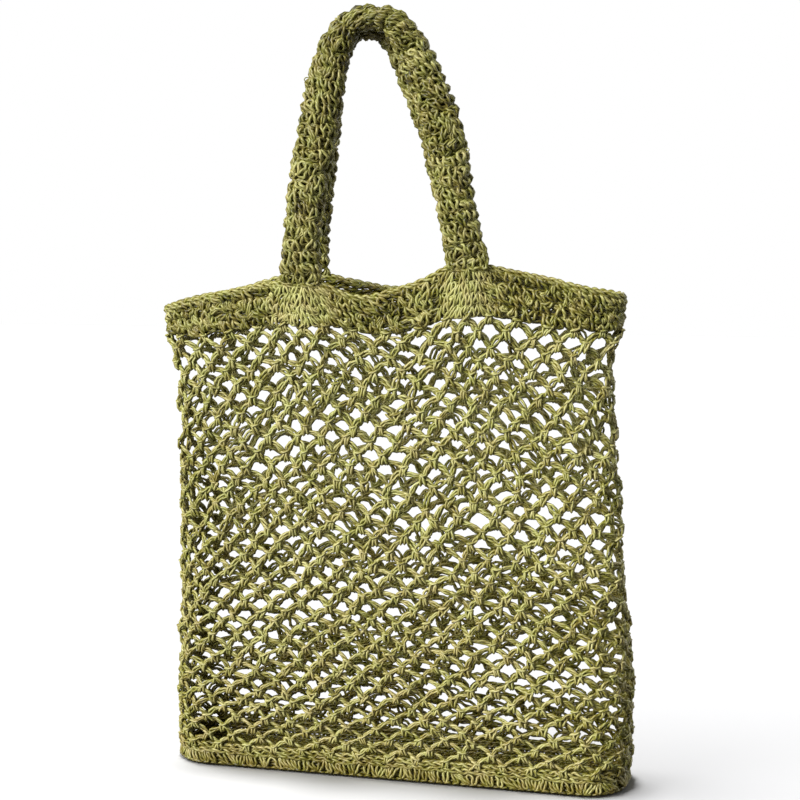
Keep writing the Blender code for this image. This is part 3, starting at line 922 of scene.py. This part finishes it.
# Back loops of the rim: slack strands round the inside of the ribs and cords, their tone set low as
# painted shade inside the base
def baseLining():
    walk = shares(base["liningSteps"])
    middle = np.array(base["liningHeights"])[:, None] * mm
    height = middle + 0.7 * mm * slowWaves(walk, middle * 300, 90)
    out = base["liningDepth"] - 0.5 * rollIn(height) + 0.5 * mm * slowWaves(walk, middle * 500, 90)
    paths, outward = onBag(walk * stationCount + 0 * middle, height, out)
    # painted shade: the inside of the base is in shade, so the lining's tone is set low
    tone = 0.05 + 0.1 * slowWaves(walk, middle * 700, 60)
    return [twineTubes(paths, outward, base["liningRadius"], 4, tone)]


# Floor: loop rounds lying flat, each one inset a row further from the base's outline. A point is a
# mix of the two outlines half a row out and half a row in.
def baseFloor():
    strands = []
    half = base["floorRow"] / 2
    deepest = bagForm["baseDepth"] / 2 - 0.5 * mm
    down = np.array([0.0, 0.0, -1.0])
    for ring in range(base["floorRounds"]):
        inset = base["floorRow"] * (ring + 0.5) + 1.0 * mm
        outline = 2 * (bagForm["baseWidth"] + bagForm["baseDepth"] - 4 * inset)
        stitches = int(round(outline / base["floorPitch"]))
        across, up, relief = loopRound(stitches, base["floorSamples"], 0.24, 0.60, 0.15)
        station = (across + 0.4 * ring) / stitches * stationCount
        outer = np.stack(basePlan(station, inset - half))
        inner = np.stack(basePlan(station, min(inset + half, deepest)))
        x, y = outer * (0.5 + up) + inner * (0.5 - up)
        z = base["floorHeight"] - base["floorRelief"] * relief
        # painted shade: the floor's tone is set low, as the inside of the bag is in shade
        tone = 0.05 + perStitch(1, stitches, base["floorSamples"], 0.15)
        paths = np.stack([x, y, z], axis=-1)[None]
        strands.append(twineTubes(paths, down, base["floorRadius"], 4, tone))
    return strands


def buildBase():
    rim = baseRibs() + baseCords() + baseLining()
    makePiece("baseRimStitches", rim, denseTwine, "base_panel")
    makePiece("baseFloorStitches", baseFloor(), denseTwine, "base_panel")


buildBase()


# ---- handles
handle = {
    "width": 0.032, "thickness": 0.020, "seatLength": 0.030,
    "steps": 400,             # places along it at which the form is read
    "rise": {-1: 0.210, 1: 0.203}, "lean": 0.002, "clearance": 0.002, "gap": 0.0003,
    # across as a share of half the spacing, up as a share of the rise
    "path": [(-0.985, 0.09), (-0.940, 0.25), (-0.840, 0.49), (-0.735, 0.73), (-0.640, 0.87),
             (-0.480, 0.96), (-0.210, 1.00), (0.060, 0.970), (0.270, 0.875), (0.450, 0.740),
             (0.630, 0.580), (0.765, 0.390), (0.885, 0.170)],
    # along, width, thickness, as shares
    "section": [(0.00, 1.00, 0.27), (0.03, 1.00, 0.60), (0.08, 1.00, 0.95), (0.36, 1.00, 1.00),
                (0.44, 0.82, 1.04), (0.50, 0.60, 1.06), (0.56, 0.76, 1.04), (0.66, 0.98, 1.00),
                (0.92, 1.00, 0.95), (0.97, 1.00, 0.60), (1.00, 1.00, 0.27)],
    "rows": 50, "stitches": 10, "samples": 12, "sides": 5, "radius": 1.50 * mm,
    "swing": 0.26, "reach": 0.58, "slant": -0.30, "turned": 0.35, "fan": 0.45,
    "relief": 1.5 * mm, "loose": 0.55 * mm, "depth": -1.7 * mm, "bulge": 0.45 * mm,
    "tone": 0.5, "toneLoose": 0.28,
    "crownPaintedShade": (0.35, 0.10),          # painted shade: the top of the arch is darkened by this, over this share of the length
    # slack strands round the tube: steps, depth, share of the radius, rows on, wave in depth
    "inner": [(28, -2.7 * mm, 0.9, 0.0, 0.9 * mm), (14, -4.2 * mm, 1.5, 0.0, 0.3 * mm),
              (14, -4.2 * mm, 1.5, 0.5, 0.3 * mm)],
    "strays": 170,            # loops that lie askew over the rounds
    "strayLength": 4.4 * mm, "strayRadius": 1.35 * mm, "roundLength": 82 * mm,
    # thin loops that stand off the twine: along, round the section, size
    "snags": {-1: ((0.155, 0.52, 2.6 * mm), (0.50, 0.93, 2.2 * mm), (0.80, 0.03, 1.8 * mm)),
              1: ((0.36, 0.02, 2.4 * mm), (0.22, 0.97, 1.8 * mm))},
}


# Middle of the band's top edge where a handle end stands
def seatPoint(side, face):
    away = bagForm["seatStations"][1]
    away = away if face < 0 else 2 * quarter - away
    station = np.array([away if side > 0 else stationCount - away], dtype=float)
    return bagPoint(station, np.ones(1))[0] - np.array([0.0, face * bagForm["bandWall"] / 2, 0.0])


# A handle's form at places along it: the middle line is the smooth curve through the path rows,
# the width lies in the plane of the loop at right angles to it, and the thickness along Y
def handleForm(face):
    start = seatPoint(-1, face)
    end = seatPoint(1, face)
    middleX = bagForm["seatShift"][face] - bagForm["mouthLeft"]
    crown = handle["thickness"] * max(row[2] for row in handle["section"])
    crownY = -bagForm["mouthForward"] - handle["lean"] + face * (crown + handle["clearance"]) / 2
    gap = np.array([0.0, 0.0, handle["gap"]])
    rows = [start + gap]
    for across, up in handle["path"]:
        seat = start if across < 0 else end
        y = seat[1] + (crownY - seat[1]) * up * up * (3 - 2 * up)
        x = middleX + across * bagForm["seatSpacing"][face] / 2
        rows.append(np.array([x, y, bagForm["height"] + up * handle["rise"][face]]))
    rows.append(end + gap)
    reach = walked(np.array(rows))
    table = [(at, *row) for at, row in zip(reach / reach[-1], rows)]
    along = np.linspace(0, 1, handle["steps"] + 1)
    path = np.stack([smoothColumn(along, table, column) for column in (1, 2, 3)], axis=-1)
    tangent = np.gradient(path, axis=0)
    tangent[0] = (0, 0, 1)
    tangent[-1] = (0, 0, -1)
    aside = unit(np.stack([-tangent[:, 2], 0 * along, tangent[:, 0]], axis=-1))
    flare = bagForm["seatWidth"] / handle["width"]
    toEnd = np.minimum(along, 1 - along) * reach[-1]
    width = handle["width"] * smoothColumn(along, handle["section"], 1)
    width = width * (1 + (flare - 1) * np.clip(1 - toEnd / handle["seatLength"], 0, 1))
    thick = handle["thickness"] * smoothColumn(along, handle["section"], 2)
    return {"path": path, "aside": aside, "length": reach[-1],
            "halfWide": width[:, None] / 2, "halfThick": thick[:, None] / 2}


# Angle round the oval section, 1.6 times as wide as thick, at an even walk round it
ovalTurn = np.linspace(0, 2 * np.pi, 721)
ovalWalk = walked(np.column_stack([1.6 * np.cos(ovalTurn), np.sin(ovalTurn)]))
ovalWalk = ovalWalk / ovalWalk[-1]


# Point on a handle: the oval section at that place along it, plus a step along the oval's normal
def onHandle(form, along, around, out):
    place = np.clip(along, 0, 1) * handle["steps"]
    low = np.minimum(np.floor(place).astype(int), handle["steps"] - 1)
    t = (place - low)[..., None]
    path, aside, halfWide, halfThick = (form[key][low] * (1 - t) + form[key][low + 1] * t
                                        for key in ("path", "aside", "halfWide", "halfThick"))
    aside = unit(aside)
    ahead = np.array([0.0, -1.0, 0.0])
    turn = np.interp(np.mod(around, 1.0), ovalWalk, ovalTurn)[..., None]
    rim = np.cos(turn) * halfWide * aside + np.sin(turn) * halfThick * ahead
    outward = unit(np.cos(turn) / halfWide * aside + np.sin(turn) / halfThick * ahead)
    return path + rim + outward * np.asarray(out)[..., None], outward


# Loops lying askew on a handle
def handleStrays(form):
    count = handle["strays"]
    up, aside, dip = skewLoops(count, handle["strayLength"])
    along = dice.uniform(0.02, 0.98, size=(count, 1)) + up / form["length"]
    around = dice.uniform(size=(count, 1)) + aside / handle["roundLength"]
    out = handle["depth"] + (0.9 + scatter((count, 1), 0.4)) * mm - dip
    paths, outward = onHandle(form, along, around, out)
    tone = 0.55 + scatter((count, 1), 0.2)
    return twineTubes(paths, outward, handle["strayRadius"], 4, tone)


# Thin round loops that stand off a handle: a circle in the plane of the outward direction
def snagLoops(form, places):
    loops = []
    turn = shares(12)[:, None] * 2 * np.pi
    for along, around, size in places:
        reach = np.array([along, along + 0.01])
        points, outward = onHandle(form, reach, np.full(2, around), np.zeros(2))
        foot, outward = points[:1], outward[:1]
        ahead = unit(points[1:] - foot)
        ring = foot + outward * size * (0.7 + np.cos(turn)) + ahead * size * 0.8 * np.sin(turn)
        loops.append(twineTubes(ring[None], np.cross(outward, ahead), 0.5 * mm, 5, 0.8))
    return loops


# Handle rounds: loop rounds stacked along the tube, each turned part of a stitch on from the last,
# with a purse of the tube between two rounds, a slack strand round each purse and back loops inside
def buildHandle(name, face, node):
    form = handleForm(face)
    rows = handle["rows"]
    row, u, v, relief, loose = stackedRounds(handle)
    v = v + 0.35 * slowWaves(u / handle["stitches"], row / rows * 4, 4)
    along = (row + 0.5 + v) / rows
    out = handle["depth"] + handle["relief"] * relief + handle["loose"] * loose(1.0)
    out = out + handle["bulge"] * np.cos(2 * np.pi * np.clip(v, -0.5, 0.5))
    paths, outward = onHandle(form, along, u / handle["stitches"], out)
    # painted shade: the arch's top gets less light, so its tone is lowered there
    crownShade, wide = handle["crownPaintedShade"]
    tone = handle["tone"] + loose(handle["toneLoose"]) - crownShade * np.exp(-((along - 0.5) / wide) ** 2)
    radius = handle["radius"] * (1 + loose(0.06))
    bundles = [twineTubes(paths, outward, radius, handle["sides"], tone)]
    ring = np.arange(1, rows)[:, None]
    for steps, depth, thick, shift, wave in handle["inner"]:
        walk = shares(steps)
        v = shift + 0.12 * np.sin(2 * np.pi * (walk * (steps // 4) + dice.uniform(size=ring.shape)))
        out = depth + wave * np.sin(2 * np.pi * (walk * (steps // 5) + dice.uniform(size=ring.shape)))
        paths, outward = onHandle(form, (ring + v) / rows, walk + 0 * v, out)
        tone = 0.25 + scatter(ring.shape, 0.1)
        bundles.append(twineTubes(paths, outward, handle["radius"] * thick, 4, tone))
    bundles.append(handleStrays(form))
    bundles += snagLoops(form, handle["snags"][face])
    makePiece(name, bundles, handleTwine, node)


buildHandle("frontHandleStitches", -1, "front_handle")
buildHandle("backHandleStitches", 1, "back_handle")


# ---- floor, light and colour
studio = {
    "floorSize": 9.0,
    "floor": "#D6D6D7",
    # name, strength, where it comes from, degrees of sky that it fills, what it lights
    "lights": [("softKey", 7.0, (-0.69, -0.74, 0.58), 40.0, "bag"),
               ("softTop", 0.55, (0.05, -0.35, 1.0), 80.0, "bag"),
               ("backFill", 1.9, (0.80, 0.70, 0.55), 60.0, "bag"),
               ("overhead", 2.8, (-0.05, 0.035, 1.0), 7.0, "paper"),
               ("wideLeft", 2.25, (-0.85, -0.10, 1.0), 60.0, "paper")],
    "sky": 0.13,
}


def buildStudio():
    half = studio["floorSize"] / 2
    mesh = bpy.data.meshes.new("studioFloor")
    corners = [(-half, -half, 0), (half, -half, 0), (half, half, 0), (-half, half, 0)]
    mesh.from_pydata(corners, [], [(0, 1, 2, 3)])
    floor = bpy.data.objects.new("studioFloor", mesh)
    paperOnly = bpy.data.collections.new("studioPaper")
    scene.collection.children.link(paperOnly)
    paperOnly.objects.link(floor)
    matt = {"Base Color": linearColour(studio["floor"]), "Roughness": 1.0, "Specular IOR Level": 0.0}
    mesh.materials.append(newMaterial("paleStudioPaper", matt)[0])
    floor.visible_diffuse = False     # the bright paper throws no light back up into the crochet
    for name, strength, (x, y, z), wide, lit in studio["lights"]:
        light = bpy.data.lights.new(name, "SUN")
        light.energy = strength
        light.angle = np.radians(wide)
        lamp = bpy.data.objects.new(name, light)
        lamp.rotation_euler = (np.arctan2(np.hypot(x, y), z), 0.0, np.arctan2(x, -y))
        lamp.light_linking.receiver_collection = pieces if lit == "bag" else paperOnly
        scene.collection.objects.link(lamp)
    world = bpy.data.worlds.new("paleStudio")
    world.use_nodes = True
    tree = world.node_tree
    tree.nodes.clear()
    rays = addNode(tree, "LightPath")
    soft = addNode(tree, "Background", {"Color": (1, 1, 1, 1), "Strength": studio["sky"]})
    white = addNode(tree, "Background", {"Color": (1, 1, 1, 1), "Strength": 1.0})
    both = addNode(tree, "MixShader", None,
                   {0: (rays, "Is Camera Ray"), 1: (soft, 0), 2: (white, 0)})
    addNode(tree, "OutputWorld", None, {"Surface": (both, 0)})
    scene.world = world
    scene.view_settings.view_transform = "Standard"


buildStudio()
print("studio ready")
